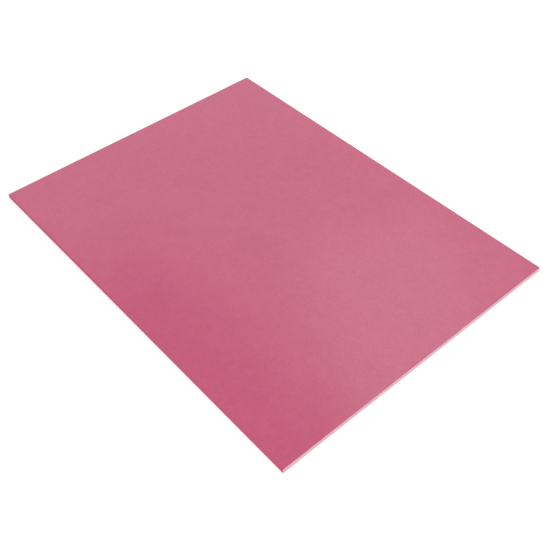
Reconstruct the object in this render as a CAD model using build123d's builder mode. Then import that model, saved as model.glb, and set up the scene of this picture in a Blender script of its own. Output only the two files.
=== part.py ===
from build123d import *
import os

# Paper-scoring pad: a soft skin wrapped over a resilient core, with a backing sheet below.
#
# The pad lies flat. +Z is up, +X runs along its length, +Y across its width, and the origin
# is the middle of its underside. The plies are laid up as one long web with the same section
# all along X, then cut square at both ends, so the ends show the plies edge on while the two
# long edges are covered by the folded skin.

# Driving dimensions, mm
LENGTH = 304.8  # 12 in, between the two cut ends
WIDTH = 228.6  # 9 in, across the folded long edges
THICKNESS = 4.0
SKIN = 0.4  # cover sheet, and the backing sheet that lies level with its turn-ins
FILM = 0.1  # each layer of adhesive
FOLD_RADIUS = 0.6  # outside radius of the cover sheet where it turns round a long edge
TURN_IN = 12.0  # how far the cover sheet is folded under along each long edge
BACKING_GAP = 0.5  # slot between a turn-in and the backing sheet

# Worked out from them
CORE_INSET = SKIN + FILM
UNDERSIDE_OPENING = WIDTH - 2 * TURN_IN
BACKING_WIDTH = UNDERSIDE_OPENING - 2 * BACKING_GAP
SECTION_CENTRE = (0, THICKNESS / 2)
BOTTOM_CENTRE = (Align.CENTER, Align.MIN)

# The section of every ply is drawn on this plane: its x is the pad's Y, its y the pad's Z.
CUT_END = Plane.YZ.offset(-LENGTH / 2)

os.makedirs("parts", exist_ok=True)

# Cover sheet: the skin that is scored on. It lies over the top, goes round both long edges
# and ends in a turn-in below each.
with BuildPart() as cover_sheet:
    with BuildSketch(CUT_END):
        with Locations(SECTION_CENTRE):
            RectangleRounded(WIDTH, THICKNESS, FOLD_RADIUS)
            RectangleRounded(
                WIDTH - 2 * SKIN,
                THICKNESS - 2 * SKIN,
                FOLD_RADIUS - SKIN,
                mode=Mode.SUBTRACT,
            )
        Rectangle(UNDERSIDE_OPENING, SKIN, align=BOTTOM_CENTRE, mode=Mode.SUBTRACT)
    extrude(amount=LENGTH)
cover_sheet.part.label = "cover_sheet"
export_step(cover_sheet.part, "parts/cover_sheet.step")

# Adhesive between the cover sheet and the core, everywhere that the two face each other
with BuildPart() as cover_adhesive:
    with BuildSketch(CUT_END):
        with Locations(SECTION_CENTRE):
            RectangleRounded(WIDTH - 2 * SKIN, THICKNESS - 2 * SKIN, FOLD_RADIUS - SKIN)
            RectangleRounded(
                WIDTH - 2 * CORE_INSET,
                THICKNESS - 2 * CORE_INSET,
                FOLD_RADIUS - CORE_INSET,
                mode=Mode.SUBTRACT,
            )
        with Locations((0, SKIN)):
            Rectangle(UNDERSIDE_OPENING, FILM, align=BOTTOM_CENTRE, mode=Mode.SUBTRACT)
    extrude(amount=LENGTH)
cover_adhesive.part.label = "cover_adhesive"
export_step(cover_adhesive.part, "parts/cover_adhesive.step")

# Core: the resilient board that gives under the scoring tool, seen only at the cut ends
with BuildPart() as core_board:
    with BuildSketch(CUT_END):
        with Locations(SECTION_CENTRE):
            RectangleRounded(
                WIDTH - 2 * CORE_INSET,
                THICKNESS - 2 * CORE_INSET,
                FOLD_RADIUS - CORE_INSET,
            )
    extrude(amount=LENGTH)
core_board.part.label = "core_board"
export_step(core_board.part, "parts/core_board.step")

# Adhesive between the core and the backing sheet
with BuildPart() as backing_adhesive:
    with BuildSketch(CUT_END):
        with Locations((0, SKIN)):
            Rectangle(BACKING_WIDTH, FILM, align=BOTTOM_CENTRE)
    extrude(amount=LENGTH)
backing_adhesive.part.label = "backing_adhesive"
export_step(backing_adhesive.part, "parts/backing_adhesive.step")

# Backing sheet: lies between the two turn-ins, level with them, and rests on the table
with BuildPart() as backing_sheet:
    with BuildSketch(CUT_END):
        Rectangle(BACKING_WIDTH, SKIN, align=BOTTOM_CENTRE)
    extrude(amount=LENGTH)
backing_sheet.part.label = "backing_sheet"
export_step(backing_sheet.part, "parts/backing_sheet.step")
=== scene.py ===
import math

import bpy
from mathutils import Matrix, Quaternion, Vector, noise


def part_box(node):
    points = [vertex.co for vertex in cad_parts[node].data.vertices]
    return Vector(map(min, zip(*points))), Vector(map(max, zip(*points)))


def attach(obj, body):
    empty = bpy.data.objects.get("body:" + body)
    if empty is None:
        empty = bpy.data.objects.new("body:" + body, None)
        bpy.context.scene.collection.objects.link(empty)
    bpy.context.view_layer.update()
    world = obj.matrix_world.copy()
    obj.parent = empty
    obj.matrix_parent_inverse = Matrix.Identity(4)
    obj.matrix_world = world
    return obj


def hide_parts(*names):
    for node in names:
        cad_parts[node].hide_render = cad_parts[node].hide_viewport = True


# A paper-scoring pad that lies flat: a satin pink skin wrapped over a pale resilient core, with a
# pebbled backing below. +X runs along its length to a cut end, +Y across it to a folded long edge,
# +Z up. The origin is the middle of its underside.

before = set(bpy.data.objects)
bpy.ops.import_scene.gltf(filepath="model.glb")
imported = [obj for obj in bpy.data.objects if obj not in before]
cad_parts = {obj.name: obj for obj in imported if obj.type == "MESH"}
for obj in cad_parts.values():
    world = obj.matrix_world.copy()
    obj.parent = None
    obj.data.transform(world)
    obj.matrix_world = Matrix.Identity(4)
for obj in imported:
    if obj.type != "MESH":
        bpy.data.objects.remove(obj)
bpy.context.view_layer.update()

MM = 0.001

# ---------------------------------------------------------------- sizes, from the CAD parts
SKIN_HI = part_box("cover_sheet")[1]
CORE_LO, CORE_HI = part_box("core_board")
BACK_LO, BACK_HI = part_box("backing_sheet")

HALF_LENGTH = SKIN_HI.x
HALF_WIDTH = SKIN_HI.y
THICKNESS = SKIN_HI.z
SKIN = BACK_HI.z - BACK_LO.z  # the backing sheet is as thick as the skin

# The folded edge as part.py makes it, which no bounding box shows
FOLD_RADIUS = 0.6 * MM
TURN_IN = 12.0 * MM
CORE_RADIUS = 0.1 * MM

# Relief that the CAD leaves out, all of it inside the CAD surface
FACE_UNEVENNESS = 0.05 * MM
FACE_DIMPLES = 0.006 * MM
PRESSED_DEPTH = 0.05 * MM  # how far the knife pressed the skin's ends down
PRESSED_LENGTH = 0.8 * MM
CORE_DISH = 0.10 * MM
CORE_CHATTER = 0.03 * MM
BACKING_UNEVENNESS = 0.02 * MM
BACKING_EASE = 0.06 * MM  # how far the backing's long edges rise, over the width below
BACKING_EASE_WIDTH = 0.3 * MM
TOUCHING = 0.01 * MM  # points this near to a face count as on it

# ---------------------------------------------------------------- looks
SKIN_PINK = (0.582, 0.123, 0.218)
SKIN_PINK_DEEP = (0.530, 0.100, 0.186)
# Painted shade: a darker base colour for the skin round the folded long sides, standing in for their
# shade
SKIN_PINK_FOLD_SHADE = (0.530, 0.058, 0.148)
CORE_PINK = (0.650, 0.400, 0.452)
CORE_PINK_DEEP = (0.570, 0.280, 0.338)
BACKING_PINK = (0.780, 0.640, 0.670)
BACKING_PINK_DEEP = (0.680, 0.510, 0.550)
ADHESIVE = (0.720, 0.520, 0.540)
ADHESIVE_DEEP = (0.600, 0.380, 0.410)
WHITE = (1.0, 1.0, 1.0)

# The skin's look changes from the first to the second between each two depths.
FOLD_DEPTHS = (0.05 * MM, FOLD_RADIUS)  # from the pad's side: fold, then flat
CUT_FACE_DEPTHS = (0.005 * MM, 0.02 * MM)  # from the pad's end: cut face, then outside
CUT_ROUGH_DEPTHS = (0.01 * MM, 0.06 * MM)  # from the pad's end: rough, then satin
PIGMENT_DEPTHS = (0.12 * MM, 0.16 * MM)  # from the skin's outside: pigment, then carrier

SKIN_ROUGHNESS = (0.14, 0.17)
FOLD_EXTRA_ROUGHNESS = 0.6
CUT_EXTRA_ROUGHNESS = 0.45
CORE_ROUGHNESS = (0.55, 0.75)
BACKING_ROUGHNESS = (0.85, 0.62)  # between the pebbles, and on top of them
ADHESIVE_ROUGHNESS = (0.25, 0.45)

VINYL_IOR = 1.5
RUBBER_IOR = 1.5
BACKING_IOR = 1.48
ADHESIVE_IOR = 1.47

NOISE_RANGE = (0.3, 0.7)  # where most values of a noise texture lie

# ---------------------------------------------------------------- studio
FLOOR_HALF = 8.0
FLOOR_DROP = 0.1 * MM  # keeps the floor from meeting the underside face to face
FLOOR_GREY = 0.35
FLOOR_ROUGHNESS = 0.9
FLOOR_GLOW = 0.74

HORIZON_STRENGTH = 1.05
CEILING_STRENGTH = 0.95
HAZE_HEIGHTS = (0.05, 0.5)  # sines of the elevations between which the strength changes

# The ceiling's dim patch, by a direction's X / Z (across) and Y / Z (ahead). Each pair runs from
# the patch's outer limit to where it is fully dim.
DIM_STRENGTH = 0.1
DIM_ACROSS = ((-0.92, -0.89), (0.4, 0.2))
DIM_AHEAD = ((0.51, 0.48), (-0.4, -0.2))

LAMP_HEIGHT = 4.0


# ---------------------------------------------------------------- mesh helpers
WAVE_ORIGIN = Vector((3.7, 11.3, 5.9))
WAVE_LAYER_GAP = 7.31
SHARP_ANGLE = math.radians(35)  # edges that turn by more than this aren't shaded smooth


def wave(x, y, size_x, size_y, layer):
    """Smooth noise, about 0 to 1, with features of size_x by size_y metres; each layer differs."""
    place = Vector((x / size_x, y / size_y, WAVE_LAYER_GAP * layer))
    return 0.5 + 0.5 * noise.noise(place + WAVE_ORIGIN)


def stations(start, end, step, fine):
    """Places from start to end about a step apart, and at the distances in fine from each end."""
    near = [start + d for d in fine]
    far = [end - d for d in reversed(fine)]
    count = max(1, round((far[0] - near[-1]) / step))
    middle = [near[-1] + (far[0] - near[-1]) * k / count for k in range(1, count)]
    return near + middle + far


def in_mm(*distances):
    """Distances given in millimetres, as metres."""
    return [d * MM for d in distances]


def make_object(name, points, faces, material):
    """A mesh object from lists of points and faces, smooth except along its sharp edges."""
    mesh = bpy.data.meshes.new(name)
    mesh.from_pydata(points, [], faces)
    mesh.validate()
    mesh.shade_smooth()
    mesh.set_sharp_from_angle(angle=SHARP_ANGLE)
    mesh.materials.append(material)
    piece = bpy.data.objects.new(name, mesh)
    bpy.context.scene.collection.objects.link(piece)
    return piece


def box_shell(xs, ys, zs):
    """The surface of a box as a grid on all six sides: its points and its faces."""
    index, points = {}, []

    def vertex(i, j, k):
        if (i, j, k) not in index:
            index[i, j, k] = len(points)
            points.append(Vector((xs[i], ys[j], zs[k])))
        return index[i, j, k]

    nx, ny, nz = len(xs) - 1, len(ys) - 1, len(zs) - 1
    faces = []
    for i in range(nx):
        for j in range(ny):
            a, b = i + 1, j + 1
            faces.append([vertex(i, j, 0), vertex(i, b, 0), vertex(a, b, 0), vertex(a, j, 0)])
            faces.append([vertex(i, j, nz), vertex(a, j, nz), vertex(a, b, nz), vertex(i, b, nz)])
    for i in range(nx):
        for k in range(nz):
            a, c = i + 1, k + 1
            faces.append([vertex(i, 0, k), vertex(a, 0, k), vertex(a, 0, c), vertex(i, 0, c)])
            faces.append([vertex(i, ny, k), vertex(i, ny, c), vertex(a, ny, c), vertex(a, ny, k)])
    for j in range(ny):
        for k in range(nz):
            b, c = j + 1, k + 1
            faces.append([vertex(0, j, k), vertex(0, j, c), vertex(0, b, c), vertex(0, b, k)])
            faces.append([vertex(nx, j, k), vertex(nx, b, k), vertex(nx, b, c), vertex(nx, j, c)])
    return points, faces


# ---------------------------------------------------------------- the pieces
def skin_profile():
    """The skin's outside as (y, z, outward y, outward z), from one turn-in's free edge over the
    top to the other's."""
    flat_half = HALF_WIDTH - FOLD_RADIUS
    under_half = HALF_WIDTH - TURN_IN
    low, high = FOLD_RADIUS, THICKNESS - FOLD_RADIUS
    arc_steps = 6

    def arc(cy, cz, start_degrees):
        angles = [math.radians(start_degrees - 90 * k / arc_steps) for k in range(arc_steps + 1)]
        return [
            (cy + FOLD_RADIUS * math.cos(a), cz + FOLD_RADIUS * math.sin(a), math.cos(a), math.sin(a))
            for a in angles
        ]

    under_ys = stations(under_half, flat_half, step=1.5 * MM, fine=in_mm(0.0, 0.3))
    side_zs = stations(low, high, step=0.6 * MM, fine=in_mm(0.0, 0.3))
    top_ys = stations(-flat_half, flat_half, step=1.6 * MM, fine=in_mm(0.0, 0.5, 1.2))
    under = [(-y, 0.0, 0.0, -1.0) for y in under_ys]
    side = [(-HALF_WIDTH, z, -1.0, 0.0) for z in side_zs]
    top = [(y, THICKNESS, 0.0, 1.0) for y in top_ys]
    half = under[:-1] + arc(-flat_half, low, 270) + side[1:-1] + arc(-flat_half, high, 180)
    mirrored = [(-y, z, -ny, nz) for y, z, ny, nz in reversed(half)]
    return half + top[1:-1] + mirrored


def skin_sink(x, y):
    """How far the scoring face lies below the CAD face: a slight unevenness, and ends that the
    knife pressed down."""
    broad = wave(x, y, size_x=110 * MM, size_y=70 * MM, layer=1)
    dimples = wave(x, y, size_x=15 * MM, size_y=15 * MM, layer=2)
    pressed = math.exp(-(HALF_LENGTH - abs(x)) / PRESSED_LENGTH)
    return FACE_UNEVENNESS * broad + FACE_DIMPLES * dimples + PRESSED_DEPTH * pressed


def make_skin(material):
    """The cover sheet: a thin closed skin folded over the long edges. Its outside is worked, and
    its inside is as the CAD has it."""
    cut_fine = in_mm(0.0, 0.12, 0.35, 0.8, 1.5, 2.6)
    xs = stations(-HALF_LENGTH, HALF_LENGTH, step=1.8 * MM, fine=cut_fine)
    profile = skin_profile()
    rows = len(profile)
    points = []
    for x in xs:
        for y, z, out_y, out_z in profile:
            sink = skin_sink(x, y) * max(out_z, 0.0) ** 2
            points.append((x, y - out_y * sink, z - out_z * sink))
        for y, z, out_y, out_z in profile:
            points.append((x, y - out_y * SKIN, z - out_z * SKIN))

    last = rows - 1
    faces = []
    for i in range(len(xs) - 1):
        here, ahead = 2 * rows * i, 2 * rows * (i + 1)
        here_in, ahead_in = here + rows, ahead + rows
        for j in range(last):
            faces.append((here + j, here + j + 1, ahead + j + 1, ahead + j))
            faces.append((here_in + j, ahead_in + j, ahead_in + j + 1, here_in + j + 1))
        faces.append((here, ahead, ahead_in, here_in))
        faces.append((here + last, here_in + last, ahead_in + last, ahead + last))
    end = 2 * rows * (len(xs) - 1)
    end_in = end + rows
    for j in range(last):
        faces.append((j, rows + j, rows + j + 1, j + 1))
        faces.append((end + j, end + j + 1, end_in + j + 1, end_in + j))
    return make_object("scoring_skin", points, faces, material)


def make_core(material):
    """The core board, with cut ends that are slightly dished, as a knife leaves a resilient board."""
    middle = (CORE_LO.z + CORE_HI.z) / 2
    half_height = (CORE_HI.z - CORE_LO.z) / 2
    half_width = CORE_HI.y
    xs = stations(CORE_LO.x, CORE_HI.x, step=12 * MM, fine=in_mm(0.0, 0.5, 2.0))
    width_shares = stations(-1.0, 1.0, step=0.012, fine=(0.0, 0.0015, 0.004))
    zs = stations(CORE_LO.z, CORE_HI.z, step=0.3 * MM, fine=in_mm(0.0, 0.09, 0.3))
    points, faces = box_shell(xs, width_shares, zs)
    for p in points:  # y is still a share of the half width, which is less at the rounded edges
        from_edge = half_height - abs(p.z - middle)
        inset = max(CORE_RADIUS - from_edge, 0.0)
        p.y *= half_width - CORE_RADIUS + math.sqrt(CORE_RADIUS**2 - inset**2)
        if HALF_LENGTH - abs(p.x) < TOUCHING:
            dish = CORE_DISH * (1 - ((p.z - middle) / half_height) ** 2)
            layer = 4 if p.x > 0 else 5
            chatter = CORE_CHATTER * wave(p.y, p.z, size_x=3.5 * MM, size_y=8 * MM, layer=layer)
            p.x -= math.copysign(dish + chatter, p.x)
    return make_object("resilient_core", points, faces, material)


def make_backing(material):
    """The backing sheet, with a faintly uneven underside that stays within its CAD thickness."""
    xs = stations(BACK_LO.x, BACK_HI.x, step=2.4 * MM, fine=in_mm(0.0, 0.3))
    ys = stations(BACK_LO.y, BACK_HI.y, step=2.4 * MM, fine=in_mm(0.0, 0.15, 0.6))
    zs = [BACK_LO.z, (BACK_LO.z + BACK_HI.z) / 2, BACK_HI.z]
    points, faces = box_shell(xs, ys, zs)
    for p in points:
        if p.z < BACK_LO.z + TOUCHING:
            inward = min((BACK_HI.y - abs(p.y)) / BACKING_EASE_WIDTH, 1.0)
            p.z += BACKING_UNEVENNESS * wave(p.x, p.y, size_x=9 * MM, size_y=9 * MM, layer=6)
            p.z += BACKING_EASE * (1 - inward)
    return make_object("backing_liner", points, faces, material)


# ---------------------------------------------------------------- material helpers
class Nodes:
    """A node tree, with a short call for each kind of node used here."""

    def __init__(self, tree):
        self.tree = tree

    def node(self, kind, **settings):
        made = self.tree.nodes.new(kind)
        for name, value in settings.items():
            setattr(made, name, value)
        return made

    def put(self, socket, value):
        """Links an output to the socket, or sets the socket to a plain value."""
        if isinstance(value, bpy.types.NodeSocket):
            self.tree.links.new(value, socket)
        else:
            socket.default_value = value

    def span(self, value, low, high, to_low=0.0, to_high=1.0, smooth=True):
        """value's range from low to high, spread over to_low to to_high and held there beyond it."""
        kind = "SMOOTHSTEP" if smooth else "LINEAR"
        made = self.node("ShaderNodeMapRange", interpolation_type=kind, clamp=True)
        self.put(made.inputs["Value"], value)
        self.put(made.inputs["From Min"], low)
        self.put(made.inputs["From Max"], high)
        self.put(made.inputs["To Min"], to_low)
        self.put(made.inputs["To Max"], to_high)
        return made.outputs["Result"]

    def math(self, operation, a, b=0.0):
        made = self.node("ShaderNodeMath", operation=operation)
        self.put(made.inputs[0], a)
        self.put(made.inputs[1], b)
        return made.outputs["Value"]

    def axes(self, vector):
        """A vector's X, Y and Z."""
        made = self.node("ShaderNodeSeparateXYZ")
        self.put(made.inputs["Vector"], vector)
        return [made.outputs[name] for name in "XYZ"]


class Shade(Nodes):
    """One material's node tree. place is the place on the surface, in metres."""

    def __init__(self, name):
        self.material = bpy.data.materials.new(name)
        self.material.use_nodes = True
        super().__init__(self.material.node_tree)
        self.shader = self.tree.nodes["Principled BSDF"]
        self.place = self.node("ShaderNodeTexCoord").outputs["Object"]

    def noise(self, size, stretch=(1, 1, 1), detail=2.0, roughness=0.5):
        """Noise from 0 to 1 with features about size metres across, drawn out by stretch."""
        mapping = self.node("ShaderNodeMapping")
        self.put(mapping.inputs["Vector"], self.place)
        mapping.inputs["Scale"].default_value = [1 / (size * s) for s in stretch]
        made = self.node("ShaderNodeTexNoise")
        self.put(made.inputs["Vector"], mapping.outputs["Vector"])
        made.inputs["Scale"].default_value = 1.0
        made.inputs["Detail"].default_value = detail
        made.inputs["Roughness"].default_value = roughness
        return made.outputs["Fac"]

    def share(self, value, amount, low=NOISE_RANGE[0]):
        """Noise as a share from 0 to amount, which stays 0 up to low."""
        return self.span(value, low, NOISE_RANGE[1], 0.0, amount)

    def total(self, *values):
        """The sum of the values."""
        result = values[0]
        for value in values[1:]:
            result = self.math("ADD", result, value)
        return result

    def mix(self, amount, a, b):
        """A colour from a to b by amount."""
        made = self.node("ShaderNodeMix", data_type="RGBA")
        self.put(made.inputs["Factor"], amount)
        for socket, colour in ((made.inputs[6], a), (made.inputs[7], b)):
            self.put(socket, (*colour, 1.0) if isinstance(colour, tuple) else colour)
        return made.outputs[2]

    def bump(self, height, distance, under=None):
        """Relief by height, which goes from 0 to 1 over distance metres, on the relief under it."""
        made = self.node("ShaderNodeBump")
        self.put(made.inputs["Height"], height)
        made.inputs["Distance"].default_value = distance
        if under is not None:
            self.put(made.inputs["Normal"], under)
        return made.outputs["Normal"]

    def finish(self, colour, roughness, normal, ior):
        """Links what varies over the surface, and sets the IOR, which doesn't, on the shader."""
        self.put(self.shader.inputs["Base Color"], colour)
        self.put(self.shader.inputs["Roughness"], roughness)
        self.put(self.shader.inputs["Normal"], normal)
        self.shader.inputs["IOR"].default_value = ior
        return self.material


# ---------------------------------------------------------------- materials
def skin_material():
    """Satin pink vinyl, faintly cloudy and finely grained. It is matt where it goes round the folds
    and painted darker there as shade, and its cut ends show a pale carrier under the pigmented
    surface."""
    s = Shade("skin_vinyl")
    clouds = s.noise(size=26 * MM)
    mottle = s.noise(size=6 * MM)
    grain = s.noise(size=2.0 * MM, detail=3.0, roughness=0.6)
    pores = s.noise(size=0.45 * MM, detail=1.0)

    x, y, z = s.axes(s.place)
    to_cut = s.math("SUBTRACT", HALF_LENGTH, s.math("ABSOLUTE", x))
    to_fold = s.math("SUBTRACT", HALF_WIDTH, s.math("ABSOLUTE", y))
    to_face = s.math("SUBTRACT", THICKNESS, z)
    fold = s.span(to_fold, *FOLD_DEPTHS, 1.0, 0.0)
    cut_face = s.span(to_cut, *CUT_FACE_DEPTHS, 1.0, 0.0)
    below_outside = s.math("MINIMUM", s.math("MINIMUM", to_face, z), to_fold)
    carrier = s.math("MULTIPLY", cut_face, s.span(below_outside, *PIGMENT_DEPTHS))

    depth = s.total(s.share(clouds, 0.2), s.share(mottle, 0.3), s.share(grain, 0.5))
    colour = s.mix(depth, SKIN_PINK, SKIN_PINK_DEEP)
    # painted shade on the folded long sides
    colour = s.mix(fold, colour, SKIN_PINK_FOLD_SHADE)
    colour = s.mix(carrier, colour, s.mix(depth, CORE_PINK, CORE_PINK_DEEP))

    satin = s.span(grain, *NOISE_RANGE, *SKIN_ROUGHNESS)
    matt_fold = s.math("MULTIPLY", fold, FOLD_EXTRA_ROUGHNESS)
    rough_cut = s.span(to_cut, *CUT_ROUGH_DEPTHS, CUT_EXTRA_ROUGHNESS, 0.0)
    roughness = s.total(satin, matt_fold, rough_cut)
    normal = s.bump(grain, distance=0.018 * MM)
    normal = s.bump(pores, distance=0.005 * MM, under=normal)
    return s.finish(colour, roughness, normal, VINYL_IOR)


def core_material():
    """The core's cut face: pale, fine-celled, with the upright marks of the knife."""
    s = Shade("core_rubber")
    cells = s.noise(size=0.35 * MM, roughness=0.6)
    patches = s.noise(size=6 * MM, detail=3.0)
    knife = s.noise(size=0.5 * MM, stretch=(1, 1, 14), detail=3.0, roughness=0.6)
    towards_skin = s.span(s.axes(s.place)[2], CORE_LO.z, CORE_HI.z, -0.2, 0.15)
    depth = s.total(
        s.share(cells, 0.4, low=0.35),
        s.share(patches, 0.3),
        s.share(knife, 0.3, low=0.35),
        towards_skin,
    )
    colour = s.mix(depth, CORE_PINK, CORE_PINK_DEEP)
    roughness = s.span(knife, *NOISE_RANGE, *CORE_ROUGHNESS)
    normal = s.bump(knife, distance=0.04 * MM)
    normal = s.bump(cells, distance=0.03 * MM, under=normal)
    return s.finish(colour, roughness, normal, RUBBER_IOR)


def backing_material():
    """A matt sheet with a close pebbled texture that keeps the pad from sliding."""
    s = Shade("backing_sheet")
    pebble_size = 1.1 * MM
    pebble_edge = 0.7  # how far from its middle a pebble ends, in pebble sizes
    pebbles = s.node("ShaderNodeTexVoronoi", feature="SMOOTH_F1")
    s.put(pebbles.inputs["Vector"], s.place)
    pebbles.inputs["Scale"].default_value = 1 / pebble_size
    patches = s.noise(size=25 * MM, detail=4.0, roughness=0.6)
    dust = s.noise(size=0.9 * MM, detail=4.0, roughness=0.7)
    height = s.span(pebbles.outputs["Distance"], 0.0, pebble_edge, 1.0, 0.0)
    # Painted shade: the hollows between the pebbles get a deeper colour
    hollow_shade = s.span(height, 0.0, 1.0, 0.45, 0.0)
    depth = s.total(hollow_shade, s.share(patches, 0.35), s.share(dust, 0.2, low=0.4))
    colour = s.mix(depth, BACKING_PINK, BACKING_PINK_DEEP)
    roughness = s.span(height, 0.0, 1.0, *BACKING_ROUGHNESS)
    normal = s.bump(height, distance=0.09 * MM)
    return s.finish(colour, roughness, normal, BACKING_IOR)


def adhesive_material():
    """Set adhesive seen edge on: a thin line, uneven where it was squeezed."""
    s = Shade("set_adhesive")
    beads = s.noise(size=1.6 * MM, detail=3.0, roughness=0.6)
    colour = s.mix(s.span(beads, *NOISE_RANGE), ADHESIVE, ADHESIVE_DEEP)
    roughness = s.span(beads, *NOISE_RANGE, *ADHESIVE_ROUGHNESS)
    normal = s.bump(beads, distance=0.03 * MM)
    return s.finish(colour, roughness, normal, ADHESIVE_IOR)


# ---------------------------------------------------------------- stage
def make_floor():
    """A wide white floor, a little luminous like a lit table, so it stays white round the pad."""
    signs = ((-1, -1), (1, -1), (1, 1), (-1, 1))
    corners = [(FLOOR_HALF * x, FLOOR_HALF * y, -FLOOR_DROP) for x, y in signs]
    s = Shade("floor_white")
    s.shader.inputs["Base Color"].default_value = (FLOOR_GREY, FLOOR_GREY, FLOOR_GREY, 1.0)
    s.shader.inputs["Roughness"].default_value = FLOOR_ROUGHNESS
    s.shader.inputs["Emission Color"].default_value = (*WHITE, 1.0)
    s.shader.inputs["Emission Strength"].default_value = FLOOR_GLOW
    floor = make_object("floor", corners, [(0, 1, 2, 3)], s.material)


def make_world():
    """White surroundings, with a dim patch overhead where the studio has no lamp."""
    world = bpy.data.worlds.new("studio")
    bpy.context.scene.world = world
    world.use_nodes = True
    w = Nodes(world.node_tree)
    x, y, z = w.axes(w.node("ShaderNodeTexCoord").outputs["Generated"])
    least_height = 0.01  # so that nothing is divided by 0 at the horizon
    height = w.math("MAXIMUM", z, least_height)
    across = w.math("DIVIDE", x, height)
    ahead = w.math("DIVIDE", y, height)
    side_to_side = w.math("MULTIPLY", *(w.span(across, *limits) for limits in DIM_ACROSS))
    end_to_end = w.math("MULTIPLY", *(w.span(ahead, *limits) for limits in DIM_AHEAD))
    dim = w.math("MULTIPLY", side_to_side, end_to_end)
    haze = w.span(z, *HAZE_HEIGHTS, HORIZON_STRENGTH, CEILING_STRENGTH)
    background = world.node_tree.nodes["Background"]
    w.put(background.inputs["Strength"], w.span(dim, 0.0, 1.0, haze, DIM_STRENGTH, smooth=False))
    w.put(background.inputs["Color"], (*WHITE, 1.0))


def make_softbox(name, x, y, turn_degrees, length, width, radiance, colour=WHITE):
    """A soft light bank that hangs level and faces down. It gives light and reflections, but is
    not itself in view."""
    light = bpy.data.lights.new(name, "AREA")
    light.shape = "RECTANGLE"
    light.size = length
    light.size_y = width
    light.energy = radiance * length * width * math.pi
    light.color = colour
    lamp = bpy.data.objects.new(name, light)
    lamp.location = (x, y, LAMP_HEIGHT)
    lamp.rotation_mode = "QUATERNION"
    lamp.rotation_quaternion = Quaternion((0, 0, 1), math.radians(turn_degrees))
    lamp.visible_camera = False
    bpy.context.scene.collection.objects.link(lamp)


def make_camera():
    """The camera looks down over the pad's near right corner."""
    azimuth, elevation, roll = math.radians(49.63), math.radians(46.55), math.radians(-1.055)
    distance = 0.5443
    looked_at = Vector((0.04013, -0.02189, THICKNESS))
    back = Vector(
        (
            math.sin(azimuth) * math.cos(elevation),
            -math.cos(azimuth) * math.cos(elevation),
            math.sin(elevation),
        )
    )
    data = bpy.data.cameras.new("camera")
    data.lens = 53.713
    data.sensor_width = 36.0
    data.clip_start = 0.01
    camera = bpy.data.objects.new("camera", data)
    camera.location = looked_at + back * distance
    camera.rotation_mode = "QUATERNION"
    level = (-back).to_track_quat("-Z", "Y")
    camera.rotation_quaternion = level @ Quaternion((0, 0, 1), roll)
    bpy.context.scene.collection.objects.link(camera)
    bpy.context.scene.camera = camera


# ---------------------------------------------------------------- make everything
make_camera()
make_world()
make_floor()
make_softbox(
    "far_softbox",
    x=-1.52,
    y=2.64,
    turn_degrees=-27,
    length=2.72,
    width=1.2,
    radiance=0.72,
    colour=(0.65, 1.0, 0.93),
)
make_softbox("end_softbox", x=3.4, y=0.8, turn_degrees=0, length=2.4, width=2.4, radiance=6.0)
bpy.context.scene.view_settings.view_transform = "Standard"

skin = make_skin(skin_material())
core = make_core(core_material())
backing = make_backing(backing_material())
for piece, node_name, slot in (
    (skin, "cover_sheet", "skin"),
    (core, "core_board", "core"),
    (backing, "backing_sheet", "backing"),
):
    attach(piece, "root")
    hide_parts(node_name)

adhesive = adhesive_material()
for node_name in ("cover_adhesive", "backing_adhesive"):
    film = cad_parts[node_name]
    film.data.materials.clear()
    film.data.materials.append(adhesive)
